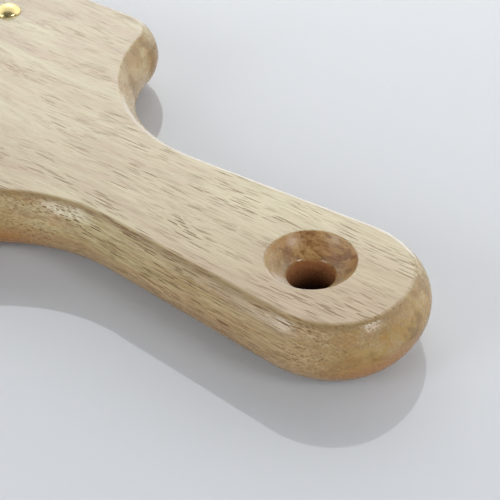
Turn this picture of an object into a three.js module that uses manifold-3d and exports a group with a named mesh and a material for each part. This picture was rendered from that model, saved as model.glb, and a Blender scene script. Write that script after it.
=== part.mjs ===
// Hand carder for wool: a flat wooden paddle cut from one board, with card clothing let into its face.
//
// The board is one piece of wood. Its plan is a hanging end, a tapered grip, two round shoulders and a head.
// The face is planed flat, so it meets the side at a crisp edge, and the side is rolled over to the back.
// The clothing is a stack of felt, cotton cloth and rubber, and bent steel wires stand in the rubber. It lies
// in a shallow pocket of the head, and domed brass nails round the pocket lap over its rim and hold it down.
//
// Millimetres, +Z up. The carder lies on its back, with the wires up. The origin is the middle of its footprint
// on the surface that it lies on, +X points to the hanging end of the grip, and the wires lean to +X.

import * as THREE from 'three';
import { mergeVertices } from 'three/addons/utils/BufferGeometryUtils.js';
import Module from 'manifold-3d';

const wasm = await Module();
wasm.setup();
const { Manifold, Mesh } = wasm;

// Board. Plan sizes are those of the flat face.
const BOARD_THICKNESS = 18;
const SIDE_ROLL_RADIUS = 10.1;
const GRIP_WIDTH_AT_HOLE = 34.4;
const GRIP_TAPER = 0.0586; // half width lost for each millimetre from the hole to the neck
const END_BEYOND_HOLE = 22.8;
const END_ROUND_LENGTH = 18.3;
const END_ROUND_POWER = 2.16; // 2 is an ellipse, and more is squarer
const HOLE_TO_NECK = 45.2;
const SHOULDER_RADIUS = 47.6;
const HEAD_CORNER_RADIUS = 10.8;

// Hanging hole: a bore that opens into a turned bowl in the face.
const BOWL_DIAMETER = 20;
const BOWL_DEPTH = 4.4; // where the bowl meets the bore
const BORE_DIAMETER = 10.5;
const BORE_BACK_CHAMFER = 0.8;

// Card clothing and its pocket.
const HOLE_TO_CLOTHING = 132.9;
const CLOTHING_WIDTH = 80.8;
const CLOTHING_LENGTH = 64;
const POCKET_CORNER_RADIUS = 8;
const SIDE_MARGIN = 17.6; // flat wood beside the pocket
const FAR_MARGIN = 17.6; // flat wood beyond the pocket
const FELT_THICKNESS = 1.2;
const CLOTH_THICKNESS = 0.8;
const RUBBER_THICKNESS = 1.4;
const RUBBER_BELOW_FACE = 0.2;
const GLUE_LINE = 0.1;
const POCKET_CLEARANCE = 0.3;

// Wires: each rises, leaning back a little, and is bent forward at its knee.
const WIRE_RADIUS = 0.34;
const WIRE_TIP_RADIUS = 0.2;
const WIRE_HEIGHT = 8;
const KNEE_HEIGHT = 4.2;
const KNEE_BACK = 0.8;
const TIP_FORWARD = 2.4; // from knee to tip
const WIRE_ROOT_DEPTH = 0.7;
const WIRE_PITCH = 3.5;
const WIRE_MARGIN = 4.6; // from the rubber's edge to the outermost wires

// Brass nails: one at each corner of the pocket, and others between them.
const NAIL_HEAD_DIAMETER = 7.2;
const NAIL_DOME_HEIGHT = 2.2;
const NAIL_HEAD_EDGE = 0.3;
const NAIL_SHANK_DIAMETER = 1.6;
const NAIL_LENGTH = 9;
const NAIL_POINT_LENGTH = 2;
const NAIL_FROM_POCKET = 2; // from the pocket's wall to the nail's axis
const NAIL_HOLE_CLEARANCE = 0.2;
const NAIL_HOLE_EXTRA_DEPTH = 0.5;
const NAILS_BETWEEN_ACROSS = 3;
const NAILS_BETWEEN_ALONG = 2;

// How finely round shapes are cut into facets.
const END_STEPS = 18;
const SHOULDER_STEPS = 16;
const CORNER_STEPS = 8;
const LOWER_ROLL_STEPS = 6;
const UPPER_ROLL_STEPS = 4;
const POCKET_CORNER_STEPS = 6;
const HOLE_SEGMENTS = 40;
const BOWL_STEPS = 6;
const NAIL_SEGMENTS = 16;
const DOME_STEPS = 5;
const WIRE_SIDES = 3;
const CUT_OVERRUN = 2; // how far a cutter runs past the face that it enters by

// Worked out from the sizes above. Plan places are first measured from the hole, along the grip.
const clothingNear = -HOLE_TO_CLOTHING;
const clothingFar = clothingNear - CLOTHING_LENGTH;
const faceEnd = END_BEYOND_HOLE;
const faceFar = clothingFar - FAR_MARGIN;
const headHalfWidth = CLOTHING_WIDTH / 2 + SIDE_MARGIN;
const rollAboveMiddle = BOARD_THICKNESS - SIDE_ROLL_RADIUS;
const sideBulge = SIDE_ROLL_RADIUS - Math.sqrt(SIDE_ROLL_RADIUS ** 2 - rollAboveMiddle ** 2);
const holeX = -(faceEnd + faceFar) / 2; // puts the middle of the footprint at the origin
const pocketDepth = RUBBER_BELOW_FACE + RUBBER_THICKNESS + CLOTH_THICKNESS + FELT_THICKNESS + 3 * GLUE_LINE;
const pocketFloor = BOARD_THICKNESS - pocketDepth;
const feltBottom = pocketFloor + GLUE_LINE;
const clothBottom = feltBottom + FELT_THICKNESS + GLUE_LINE;
const rubberBottom = clothBottom + CLOTH_THICKNESS + GLUE_LINE;
const rubberTop = rubberBottom + RUBBER_THICKNESS;
const clothingCentreX = holeX + (clothingNear + clothingFar) / 2;

const wood = new THREE.MeshStandardMaterial({ color: 0xe0cfae, roughness: 0.45, metalness: 0 });
const felt = new THREE.MeshStandardMaterial({ color: 0xd8d2c4, roughness: 0.95, metalness: 0 });
const cloth = new THREE.MeshStandardMaterial({ color: 0xbfae8e, roughness: 0.9, metalness: 0 });
const rubber = new THREE.MeshStandardMaterial({ color: 0x3a3532, roughness: 0.7, metalness: 0 });
const brass = new THREE.MeshStandardMaterial({ color: 0xe2c877, roughness: 0.2, metalness: 1 });

// Solid from a closed three.js geometry, and back again.
function solidOf(geometry) {
  const bare = geometry.clone();
  for (const name of Object.keys(bare.attributes)) {
    if (name !== 'position') bare.deleteAttribute(name);
  }
  const merged = mergeVertices(bare, 1e-4);
  return new Manifold(new Mesh({
    numProp: 3,
    vertProperties: new Float32Array(merged.attributes.position.array),
    triVerts: new Uint32Array(merged.index.array),
  }));
}

function geometryOf(solid) {
  const mesh = solid.getMesh();
  const geometry = new THREE.BufferGeometry();
  geometry.setAttribute('position', new THREE.BufferAttribute(new Float32Array(mesh.vertProperties), 3));
  geometry.setIndex(new THREE.BufferAttribute(new Uint32Array(mesh.triVerts), 1));
  geometry.computeVertexNormals();
  return geometry;
}

// Closed body from rings of points that all run the same way round, with a flat cap on the first and last.
function loft(rings, capOutline) {
  const count = rings[0].length;
  const positions = rings.flat().flatMap((point) => point.toArray());
  const caps = THREE.ShapeUtils.triangulateShape(capOutline, []);
  const last = (rings.length - 1) * count;
  const index = [];
  for (const [a, b, c] of caps) {
    index.push(a, c, b);
    index.push(last + a, last + b, last + c);
  }
  for (let ring = 0; ring + 1 < rings.length; ring += 1) {
    for (let i = 0; i < count; i += 1) {
      const a = ring * count + i;
      const b = ring * count + ((i + 1) % count);
      index.push(a, b, b + count);
      index.push(a, b + count, a + count);
    }
  }
  const geometry = new THREE.BufferGeometry();
  geometry.setAttribute('position', new THREE.Float32BufferAttribute(positions, 3));
  geometry.setIndex(index);
  return geometry;
}

// Half of the flat face's edge, from the tip of the grip to the middle of the head's far edge.
function halfFaceEdge() {
  const points = [];
  const roundStart = faceEnd - END_ROUND_LENGTH;
  const halfWidth = (x) => GRIP_WIDTH_AT_HOLE / 2 + GRIP_TAPER * x;
  for (let i = 0; i <= END_STEPS; i += 1) {
    const angle = (i / END_STEPS) * (Math.PI / 2);
    points.push(new THREE.Vector2(
      roundStart + END_ROUND_LENGTH * Math.max(Math.cos(angle), 0) ** (2 / END_ROUND_POWER),
      halfWidth(roundStart) * Math.sin(angle) ** (2 / END_ROUND_POWER),
    ));
  }
  // The grip runs straight to the neck, and its side turns out to the shoulder and back at the head's corner.
  const neck = new THREE.Vector2(-HOLE_TO_NECK, halfWidth(-HOLE_TO_NECK));
  const gripAngle = -Math.atan(GRIP_TAPER);
  const reach = headHalfWidth - neck.y;
  const radii = SHOULDER_RADIUS + HEAD_CORNER_RADIUS;
  const turnAngle = Math.acos((SHOULDER_RADIUS * Math.cos(gripAngle) + HEAD_CORNER_RADIUS - reach) / radii);
  for (let i = 0; i <= SHOULDER_STEPS; i += 1) {
    const angle = THREE.MathUtils.lerp(gripAngle, turnAngle, i / SHOULDER_STEPS);
    points.push(new THREE.Vector2(
      neck.x - SHOULDER_RADIUS * (Math.sin(angle) - Math.sin(gripAngle)),
      neck.y + SHOULDER_RADIUS * (Math.cos(gripAngle) - Math.cos(angle)),
    ));
  }
  const turn = points.at(-1);
  for (let i = 1; i <= CORNER_STEPS; i += 1) {
    const angle = THREE.MathUtils.lerp(turnAngle, 0, i / CORNER_STEPS);
    points.push(new THREE.Vector2(
      turn.x - HEAD_CORNER_RADIUS * (Math.sin(turnAngle) - Math.sin(angle)),
      turn.y + HEAD_CORNER_RADIUS * (Math.cos(angle) - Math.cos(turnAngle)),
    ));
  }
  for (let i = 0; i <= CORNER_STEPS; i += 1) {
    const angle = (i / CORNER_STEPS) * (Math.PI / 2);
    points.push(new THREE.Vector2(
      faceFar + HEAD_CORNER_RADIUS * (1 - Math.sin(angle)),
      headHalfWidth - HEAD_CORNER_RADIUS * (1 - Math.cos(angle)),
    ));
  }
  return points;
}

// Whole edge of the flat face, anticlockwise, placed in the part's own frame.
function faceEdge() {
  const half = halfFaceEdge();
  const other = half.slice(1).reverse().map((point) => new THREE.Vector2(point.x, -point.y));
  return [...half, ...other].map((point) => new THREE.Vector2(point.x + holeX, point.y));
}

// The edge moved outwards by a distance, with each point moved square to the line of its neighbours.
function movedOut(edge, distance) {
  return edge.map((point, i) => {
    const before = edge[(i + edge.length - 1) % edge.length];
    const after = edge[(i + 1) % edge.length];
    const along = after.clone().sub(before).normalize();
    return new THREE.Vector2(point.x + along.y * distance, point.y - along.x * distance);
  });
}

// Rounded rectangle over the pocket, grown or shrunk by a distance all round.
function pocketOutline(growth) {
  const halfX = CLOTHING_LENGTH / 2 + growth;
  const halfY = CLOTHING_WIDTH / 2 + growth;
  const radius = POCKET_CORNER_RADIUS + growth;
  const shape = new THREE.Shape();
  shape.moveTo(halfX, -halfY + radius);
  shape.lineTo(halfX, halfY - radius);
  shape.absarc(halfX - radius, halfY - radius, radius, 0, Math.PI / 2, false);
  shape.lineTo(-halfX + radius, halfY);
  shape.absarc(-halfX + radius, halfY - radius, radius, Math.PI / 2, Math.PI, false);
  shape.lineTo(-halfX, -halfY + radius);
  shape.absarc(-halfX + radius, -halfY + radius, radius, Math.PI, Math.PI * 1.5, false);
  shape.lineTo(halfX - radius, -halfY);
  shape.absarc(halfX - radius, -halfY + radius, radius, Math.PI * 1.5, Math.PI * 2, false);
  return shape;
}

function pocketSlab(growth, bottom, thickness) {
  const slab = new THREE.ExtrudeGeometry(pocketOutline(growth), {
    depth: thickness,
    bevelEnabled: false,
    curveSegments: POCKET_CORNER_STEPS,
  });
  return slab.translate(clothingCentreX, 0, bottom);
}

// Body turned about a vertical axis from a profile of (radius, height) pairs.
function turned(profile, segments, x, y, z) {
  const points = profile.map(([radius, height]) => new THREE.Vector2(radius, height));
  return new THREE.LatheGeometry(points, segments).rotateX(Math.PI / 2).translate(x, y, z);
}

// Where the nails stand, as plan places round the pocket.
function nailPlaces() {
  const cornerInset = POCKET_CORNER_RADIUS - (POCKET_CORNER_RADIUS + NAIL_FROM_POCKET) * Math.SQRT1_2;
  const cornerX = CLOTHING_LENGTH / 2 - cornerInset;
  const cornerY = CLOTHING_WIDTH / 2 - cornerInset;
  const lineX = CLOTHING_LENGTH / 2 + NAIL_FROM_POCKET;
  const lineY = CLOTHING_WIDTH / 2 + NAIL_FROM_POCKET;
  const places = [];
  for (const side of [1, -1]) {
    for (const end of [1, -1]) places.push([end * cornerX, side * cornerY]);
  }
  for (const end of [1, -1]) {
    for (let i = 1; i <= NAILS_BETWEEN_ACROSS; i += 1) {
      places.push([end * lineX, cornerY * ((2 * i) / (NAILS_BETWEEN_ACROSS + 1) - 1)]);
    }
  }
  for (const side of [1, -1]) {
    for (let i = 1; i <= NAILS_BETWEEN_ALONG; i += 1) {
      places.push([cornerX * ((2 * i) / (NAILS_BETWEEN_ALONG + 1) - 1), side * lineY]);
    }
  }
  return places.map(([x, y]) => [clothingCentreX + x, y]);
}

// The blank: the face's edge, swept by the rolled side from the back up to the face.
function boardBlank() {
  const edge = faceEdge();
  const rollTop = Math.asin(rollAboveMiddle / SIDE_ROLL_RADIUS);
  const angles = [];
  for (let i = 0; i < LOWER_ROLL_STEPS; i += 1) angles.push(-(Math.PI / 2) * (1 - i / LOWER_ROLL_STEPS));
  for (let i = 0; i <= UPPER_ROLL_STEPS; i += 1) angles.push(rollTop * (i / UPPER_ROLL_STEPS));
  const rings = angles.map((angle) => {
    const outward = sideBulge - SIDE_ROLL_RADIUS * (1 - Math.cos(angle));
    const height = SIDE_ROLL_RADIUS * (1 + Math.sin(angle));
    return movedOut(edge, outward).map((point) => new THREE.Vector3(point.x, point.y, height));
  });
  return loft(rings, edge);
}

// Bowl and bore in one cutter. The bowl is part of a ball that passes through its rim and the bore's mouth.
function holeCutter() {
  const rim = BOWL_DIAMETER / 2;
  const bore = BORE_DIAMETER / 2;
  const ballHeight = (rim ** 2 - bore ** 2 - BOWL_DEPTH ** 2) / (2 * BOWL_DEPTH);
  const ballRadius = Math.hypot(rim, ballHeight);
  const profile = [
    [0, -CUT_OVERRUN],
    [bore + BORE_BACK_CHAMFER + CUT_OVERRUN, -CUT_OVERRUN],
    [bore, BORE_BACK_CHAMFER],
  ];
  const boreAngle = Math.asin(bore / ballRadius);
  const rimAngle = Math.asin(rim / ballRadius);
  for (let i = 0; i <= BOWL_STEPS; i += 1) {
    const angle = THREE.MathUtils.lerp(boreAngle, rimAngle, i / BOWL_STEPS);
    profile.push([
      ballRadius * Math.sin(angle),
      BOARD_THICKNESS + ballHeight - ballRadius * Math.cos(angle),
    ]);
  }
  profile.push([rim, BOARD_THICKNESS + CUT_OVERRUN], [0, BOARD_THICKNESS + CUT_OVERRUN]);
  return turned(profile, HOLE_SEGMENTS, holeX, 0, 0);
}

function nailHoleCutter([x, y]) {
  const radius = NAIL_SHANK_DIAMETER / 2 + NAIL_HOLE_CLEARANCE;
  const bottom = -NAIL_LENGTH - NAIL_HOLE_EXTRA_DEPTH;
  const profile = [[0, bottom], [radius, bottom + radius], [radius, CUT_OVERRUN], [0, CUT_OVERRUN]];
  return turned(profile, NAIL_SEGMENTS / 2, x, y, BOARD_THICKNESS);
}

function makeBoard() {
  const cuts = [
    holeCutter(),
    pocketSlab(0, pocketFloor, pocketDepth + CUT_OVERRUN),
    ...nailPlaces().map(nailHoleCutter),
  ];
  return geometryOf(cuts.reduce((board, cut) => board.subtract(solidOf(cut)), solidOf(boardBlank())));
}

// One bent wire as a three-ring loft from inside the rubber to its tip.
function wireSolid(x, y) {
  const ring = (offsetX, height, radius) => {
    const points = [];
    for (let i = 0; i < WIRE_SIDES; i += 1) {
      const angle = (i / WIRE_SIDES) * Math.PI * 2;
      points.push(new THREE.Vector3(
        x + offsetX + radius * Math.cos(angle),
        y + radius * Math.sin(angle),
        height,
      ));
    }
    return points;
  };
  const rings = [
    ring(0, rubberTop - WIRE_ROOT_DEPTH, WIRE_RADIUS),
    ring(-KNEE_BACK, rubberTop + KNEE_HEIGHT, WIRE_RADIUS),
    ring(TIP_FORWARD - KNEE_BACK, rubberTop + WIRE_HEIGHT, WIRE_TIP_RADIUS),
  ];
  return solidOf(loft(rings, rings[0].map((point) => new THREE.Vector2(point.x, point.y))));
}

// Wires stand in rows across the head. Every other row has one wire fewer, so its wires stand between the others.
function wirePlaces() {
  const fieldX = CLOTHING_LENGTH - 2 * (POCKET_CLEARANCE + WIRE_MARGIN);
  const fieldY = CLOTHING_WIDTH - 2 * (POCKET_CLEARANCE + WIRE_MARGIN);
  const rows = Math.floor(fieldX / WIRE_PITCH) + 1;
  const longRow = Math.floor(fieldY / WIRE_PITCH) + 1;
  const places = [];
  for (let row = 0; row < rows; row += 1) {
    const inRow = row % 2 ? longRow - 1 : longRow;
    for (let i = 0; i < inRow; i += 1) {
      places.push([
        clothingCentreX + (row - (rows - 1) / 2) * WIRE_PITCH,
        (i - (inRow - 1) / 2) * WIRE_PITCH,
      ]);
    }
  }
  return places;
}

function makeWiredRubber() {
  const sheet = solidOf(pocketSlab(-POCKET_CLEARANCE, rubberBottom, RUBBER_THICKNESS));
  return geometryOf(Manifold.union([sheet, ...wirePlaces().map(([x, y]) => wireSolid(x, y))]));
}

// Domed nail, standing on its seat: a low dome with a thin upright rim, a plain shank and a point.
function makeNail() {
  const head = NAIL_HEAD_DIAMETER / 2;
  const shank = NAIL_SHANK_DIAMETER / 2;
  const rise = NAIL_DOME_HEIGHT - NAIL_HEAD_EDGE;
  const ballRadius = (head ** 2 + rise ** 2) / (2 * rise);
  const rimAngle = Math.asin(head / ballRadius);
  const profile = [[0, -NAIL_LENGTH], [shank, -NAIL_LENGTH + NAIL_POINT_LENGTH], [shank, 0], [head, 0]];
  for (let i = 0; i < DOME_STEPS; i += 1) {
    const angle = rimAngle * (1 - i / DOME_STEPS);
    profile.push([
      ballRadius * Math.sin(angle),
      NAIL_DOME_HEIGHT - ballRadius * (1 - Math.cos(angle)),
    ]);
  }
  profile.push([0, NAIL_DOME_HEIGHT]);
  return geometryOf(solidOf(turned(profile, NAIL_SEGMENTS, 0, 0, 0)));
}

const group = new THREE.Group();

function addPiece(name, geometry, material, x = 0, y = 0, z = 0) {
  const piece = new THREE.Mesh(geometry, material);
  piece.name = name;
  piece.position.set(x, y, z);
  group.add(piece);
}

addPiece('board', makeBoard(), wood);
addPiece('felt_cushion', pocketSlab(-POCKET_CLEARANCE, feltBottom, FELT_THICKNESS), felt);
addPiece('cotton_backing', pocketSlab(-POCKET_CLEARANCE, clothBottom, CLOTH_THICKNESS), cloth);
addPiece('wired_rubber', makeWiredRubber(), rubber);
nailPlaces().forEach(([x, y], i) => {
  const name = `brass_nail_${String(i + 1).padStart(2, '0')}`;
  addPiece(name, makeNail(), brass, x, y, BOARD_THICKNESS + GLUE_LINE);
});

export default group;
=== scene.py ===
"""Hand carder: a pale hardwood paddle with wire card clothing let into its face and brass nails round it.

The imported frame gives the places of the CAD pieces. The board, the nails, the rubber and the wires are modelled
again here with a finer surface and stand for their CAD nodes, and the felt and the cloth keep theirs. Metres, +Z
up: the carder lies on its back, +X points to the hanging end of the grip, and the wires stand up from the face.
"""

import math
from typing import NamedTuple

import bmesh
import bpy
from mathutils import Matrix, Vector


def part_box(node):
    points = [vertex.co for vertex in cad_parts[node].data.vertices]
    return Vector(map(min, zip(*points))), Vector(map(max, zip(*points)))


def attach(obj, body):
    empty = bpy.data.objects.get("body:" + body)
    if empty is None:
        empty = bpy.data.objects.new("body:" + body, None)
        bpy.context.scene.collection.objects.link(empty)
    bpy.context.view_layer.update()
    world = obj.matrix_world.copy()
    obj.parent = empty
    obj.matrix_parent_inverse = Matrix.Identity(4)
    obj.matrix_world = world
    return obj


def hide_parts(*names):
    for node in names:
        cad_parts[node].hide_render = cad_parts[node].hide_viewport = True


bl_info = {
    "name": "Hand Carder",
    "version": (1, 0, 0),
    "blender": (4, 5, 0),
    "location": "3D View > Sidebar > Carder",
    "description": "Builds a wooden hand carder with wire card clothing, brass nails and a studio table",
    "category": "Add Mesh",
}

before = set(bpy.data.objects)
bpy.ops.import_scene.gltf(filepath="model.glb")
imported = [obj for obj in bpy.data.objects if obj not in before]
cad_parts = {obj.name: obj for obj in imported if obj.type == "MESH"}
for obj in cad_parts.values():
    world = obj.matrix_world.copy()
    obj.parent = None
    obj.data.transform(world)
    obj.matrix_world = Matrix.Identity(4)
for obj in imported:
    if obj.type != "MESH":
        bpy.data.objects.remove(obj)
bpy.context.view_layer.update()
BOARD_LOW, BOARD_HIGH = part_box("board")
RUBBER_LOW, RUBBER_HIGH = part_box("wired_rubber")
COTTON_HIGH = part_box("cotton_backing")[1]
NAIL_NODES = sorted(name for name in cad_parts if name.startswith("brass_nail_"))
NAIL_LOW, NAIL_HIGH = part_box(NAIL_NODES[0])
BODY = "root"
MM = 0.001


# --- Sizes and colours that a user would change ---


def length(name, description, default):
    return bpy.props.FloatProperty(name=name, description=description, default=default, unit="LENGTH", precision=5)


def number(name, description, default):
    return bpy.props.FloatProperty(name=name, description=description, default=default, precision=4)


def angle(name, description, degrees):
    return bpy.props.FloatProperty(
        name=name, description=description, default=math.radians(degrees), subtype="ANGLE"
    )


def colour(name, description, red, green, blue):
    return bpy.props.FloatVectorProperty(
        name=name, description=description, default=(red, green, blue), size=3, subtype="COLOR", min=0, max=1
    )


class CarderBoardSizes(bpy.types.PropertyGroup):
    """Sizes of the wooden board."""

    thickness: length("Thickness", "From the back to the planed face", BOARD_HIGH.z - BOARD_LOW.z)
    roll_radius: length("Side roll", "Radius of the rolled side", 10.1 * MM)
    grip_width: length("Grip width", "Width of the face at the hanging hole", 34.4 * MM)
    grip_taper: number("Grip taper", "Half width lost for each metre from the hole to the neck", 0.0586)
    end_beyond_hole: length("End beyond hole", "From the hole to the tip of the face", 22.8 * MM)
    end_round_length: length("End round", "Length of the round end along the grip", 18.3 * MM)
    end_round_power: number("End round power", "2 is an ellipse, and more is squarer", 2.16)
    hole_to_neck: length("Hole to neck", "From the hole to where the shoulders start", 45.2 * MM)
    shoulder_radius: length("Shoulder radius", "Radius of the hollow shoulders", 47.6 * MM)
    head_corner_radius: length("Head corner radius", "Radius of the head's corners on the face", 10.8 * MM)
    bowl_diameter: length("Bowl", "Diameter of the turned bowl at the face", 20 * MM)
    bowl_depth: length("Bowl depth", "Depth at which the bowl meets the bore", 4.4 * MM)
    bore_diameter: length("Bore", "Diameter of the hanging hole", 10.5 * MM)
    bore_edge: length("Bore edge", "Radius of the soft edge between the bowl and the bore", 1.2 * MM)
    back_chamfer: length("Back chamfer", "Chamfer of the bore at the back", 0.8 * MM)
    edge_wear: length("Edge wear", "How far the rounding of the face's edge and the bowl's rim reaches", 0.6 * MM)


class CarderClothingSizes(bpy.types.PropertyGroup):
    """Sizes of the card clothing."""

    corner_radius: length("Corner radius", "Radius of the pocket's corners", 8 * MM)
    clearance: length("Clearance", "From the pocket's wall to the clothing", 0.3 * MM)
    sheet_thickness: length("Rubber thickness", "Thickness of the rubber sheet", 1.4 * MM)
    wire_pitch: length("Wire pitch", "From wire to wire, both ways", 3.5 * MM)
    wire_margin: length("Wire margin", "From the rubber's edge to the outermost wires", 4.6 * MM)
    wire_diameter: length("Wire diameter", "Diameter of the steel wire", 0.5 * MM)
    wire_height: length("Wire height", "From the rubber to the wires' tips", 8 * MM)
    knee_height: length("Knee height", "From the rubber to the wires' knees", 4.2 * MM)
    knee_back: length("Knee back", "How far the knees lean away from the grip", 0.8 * MM)
    tip_forward: length("Tip forward", "How far the tips reach from the knees to the grip", 2.4 * MM)


class CarderNailSizes(bpy.types.PropertyGroup):
    """Sizes of the domed brass nails."""

    head_diameter: length("Head", "Diameter of the domed head", NAIL_HIGH.x - NAIL_LOW.x)
    dome_height: length("Dome height", "From the wood to the top of the dome", 2.2 * MM)
    head_edge: length("Head edge", "Height of the head's upright rim", 0.3 * MM)
    shank_diameter: length("Shank", "Diameter of the shank", 1.6 * MM)
    point_length: length("Point", "Length of the point", 2 * MM)


class CarderFinishes(bpy.types.PropertyGroup):
    """Colours and gloss."""

    wood_cream: colour("Cream wood", "Pale rings of the wood", 0.50, 0.434, 0.266)
    wood_tan: colour("Tan wood", "Darker rings of the wood", 0.41, 0.305, 0.182)
    wood_pink: colour("Pink streaks", "Thin pinkish streaks along the grain", 0.415, 0.295, 0.19)
    wood_end: colour("End grain", "Wood cut across its grain", 0.41, 0.285, 0.118)
    wood_rust: colour("Rust streak", "Reddish streaks on the rolled sides", 0.41, 0.195, 0.06)
    wood_oiled: colour("Oiled side", "Tint that oil gives to the rolled sides", 0.83, 0.79, 0.66)
    # Partly a painted highlight: this pale colour on the far edges also stands for the gloss that the lamp behind
    # gives them.
    wood_rim_highlight: colour("Bare edge", "Pale wood along the sanded far edges", 0.68, 0.635, 0.57)
    # Partly painted shade: this darker oily colour is laid only on the far wall of the bowl and the bore.
    wood_hollow_oil_and_shade: colour("Turned hollow", "Oily wood inside the bowl and the bore", 0.385, 0.24, 0.088)
    wood_brow: colour("Brow", "Olive wood just under the crisp edge, and in blotches on end grain", 0.25, 0.172, 0.078)
    wood_grime: colour("Grime", "Tint of the dark streaks in the bowl and the clouds on end grain", 0.6, 0.48, 0.34)
    wood_bore: colour("Bore", "Red-brown wood at the top of the bore", 0.40, 0.17, 0.075)
    # Painted shade: this dark colour darkens the bore with depth, and also colours its torn fibres.
    wood_bore_shade_and_fibres: colour("Bore depth", "Dark wood deep in the bore", 0.03, 0.011, 0.004)
    pore: colour("Pores", "Short dark pores", 0.155, 0.08, 0.027)
    brass: colour("Brass", "Polished brass", 0.78, 0.64, 0.30)
    steel: colour("Steel", "Bright steel wire", 0.55, 0.55, 0.56)
    rubber: colour("Rubber", "Face of the card clothing", 0.10, 0.035, 0.02)
    felt: colour("Felt", "Cushion under the clothing", 0.55, 0.50, 0.42)
    cotton: colour("Cotton", "Woven backing", 0.46, 0.38, 0.26)


class CarderStage(bpy.types.PropertyGroup):
    """Table, lamps and camera."""

    table_colour: colour("Table", "Pale glossy table", 0.545, 0.557, 0.578)
    table_size: length("Table size", "Side of the table", 12.0)
    room_light: number("Room light", "Strength of the light from the walls", 0.955)
    front_light: number("Front light", "Strength that the wall in front adds", 0.8)
    back_light: number("Back light", "Strength that the wall behind adds", 2.3)
    pale_room: number("Pale room", "Strength of the room as reflections show it", 1.5)
    dark_room: number("Dark room", "Strength of the room behind the camera, in reflections", 0.1)
    backdrop: number("Backdrop", "Strength of the room as the camera sees it", 0.75)
    window_light: number("Window light", "Brightness of the large soft lamp behind, where 1 is white", 1.1)
    side_light: number("Side lights", "Brightness of the two soft lamps at the sides", 5.5)
    lens: number("Lens", "Focal length in millimetres on a 36 mm sensor", 93.6)
    back_from: angle("Back light from", "Direction of the bright wall behind, round the vertical", 108)
    camera_place: bpy.props.FloatVectorProperty(
        name="Camera place", description="From the hanging hole, at the height of the carder's back",
        default=(125.51 * MM, -175.54 * MM, 192.71 * MM), unit="LENGTH", precision=5,
    )
    look_from: angle("View direction", "Camera's direction from the grip, round the vertical", -50.992)
    look_down: angle("View height", "Camera's height above the horizon", 38.57)
    look_roll: angle("View roll", "Camera's roll", -1.757)


# --- Shader maths ---


class Signal:
    """One value or colour that runs between shader nodes, with arithmetic on it."""

    def __init__(self, mix, socket):
        self.mix = mix
        self.socket = socket

    def _maths(self, operation, *others, **settings):
        inputs = {i: other for i, other in enumerate((self, *others))}
        return self.mix.node("ShaderNodeMath", {"operation": operation, **settings}, inputs)

    def __add__(self, other):
        return self._maths("ADD", other)

    __radd__ = __add__

    def __mul__(self, other):
        return self._maths("MULTIPLY", other)

    __rmul__ = __mul__

    def __sub__(self, other):
        return self._maths("SUBTRACT", other)

    def __rsub__(self, other):
        return self.mix.node("ShaderNodeMath", {"operation": "SUBTRACT"}, {0: other, 1: self})

    def bigger(self, other):
        return self._maths("MAXIMUM", other)

    def size(self):
        return self._maths("ABSOLUTE")

    def clipped(self):
        return self._maths("ADD", 0.0, use_clamp=True)

    def from_to(self, low, high, start=0.0, end=1.0):
        """The value carried smoothly from the range low..high to start..end."""
        inputs = {"Value": self, "From Min": low, "From Max": high, "To Min": start, "To Max": end}
        return self.mix.node("ShaderNodeMapRange", {"interpolation_type": "SMOOTHSTEP"}, inputs)


class NodeSketch:
    """A node tree that is written as expressions on signals."""

    def __init__(self, tree):
        self.tree = tree
        self.tree.nodes.clear()

    def node(self, kind, settings=None, inputs=None, output=0):
        made = self.tree.nodes.new(kind)
        for name, value in (settings or {}).items():
            setattr(made, name, value)
        for name, value in (inputs or {}).items():
            socket = made.inputs[name]
            if isinstance(value, Signal):
                self.tree.links.new(value.socket, socket)
            else:
                socket.default_value = value
        return None if output is None else Signal(self, made.outputs[output])

    def vector_maths(self, operation, inputs, output="Vector"):
        return self.node("ShaderNodeVectorMath", {"operation": operation}, inputs, output)

    def stretched(self, place, scales):
        return self.vector_maths("MULTIPLY", {0: place, 1: scales})

    def shifted(self, place, offset):
        return self.vector_maths("ADD", {0: place, 1: offset})

    def distance(self, vector):
        return self.vector_maths("LENGTH", {0: vector}, "Value")

    def vector(self, x, y, z):
        return self.node("ShaderNodeCombineXYZ", None, {"X": x, "Y": y, "Z": z})

    def parts(self, vector):
        split = self.node("ShaderNodeSeparateXYZ", None, {0: vector})
        outputs = split.socket.node.outputs
        return [Signal(self, outputs[axis]) for axis in ("X", "Y", "Z")]

    def noise(self, place, scale, detail=2.0, roughness=0.5, output="Fac"):
        inputs = {"Vector": place, "Scale": scale, "Detail": detail, "Roughness": roughness}
        return self.node("ShaderNodeTexNoise", None, inputs, output)

    def cells(self, place):
        """Distance to the nearest of points that are strewn about one to each unit."""
        return self.node("ShaderNodeTexVoronoi", {"feature": "F1"}, {"Vector": place, "Scale": 1.0}, "Distance")

    def blend(self, factor, first, second, mode="MIX"):
        """Colour that goes from first to second as factor goes from 0 to 1."""
        settings = {"data_type": "RGBA", "blend_type": mode, "clamp_factor": True}
        made = self.node("ShaderNodeMix", settings, {0: factor}, 2)
        for socket, value in ((made.socket.node.inputs[6], first), (made.socket.node.inputs[7], second)):
            if isinstance(value, Signal):
                self.tree.links.new(value.socket, socket)
            else:
                socket.default_value = (*value[:3], 1.0)
        return made

    def bump(self, height, distance, strength=1.0):
        inputs = {"Height": height, "Distance": distance, "Strength": strength}
        return self.node("ShaderNodeBump", None, inputs, "Normal")


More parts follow.
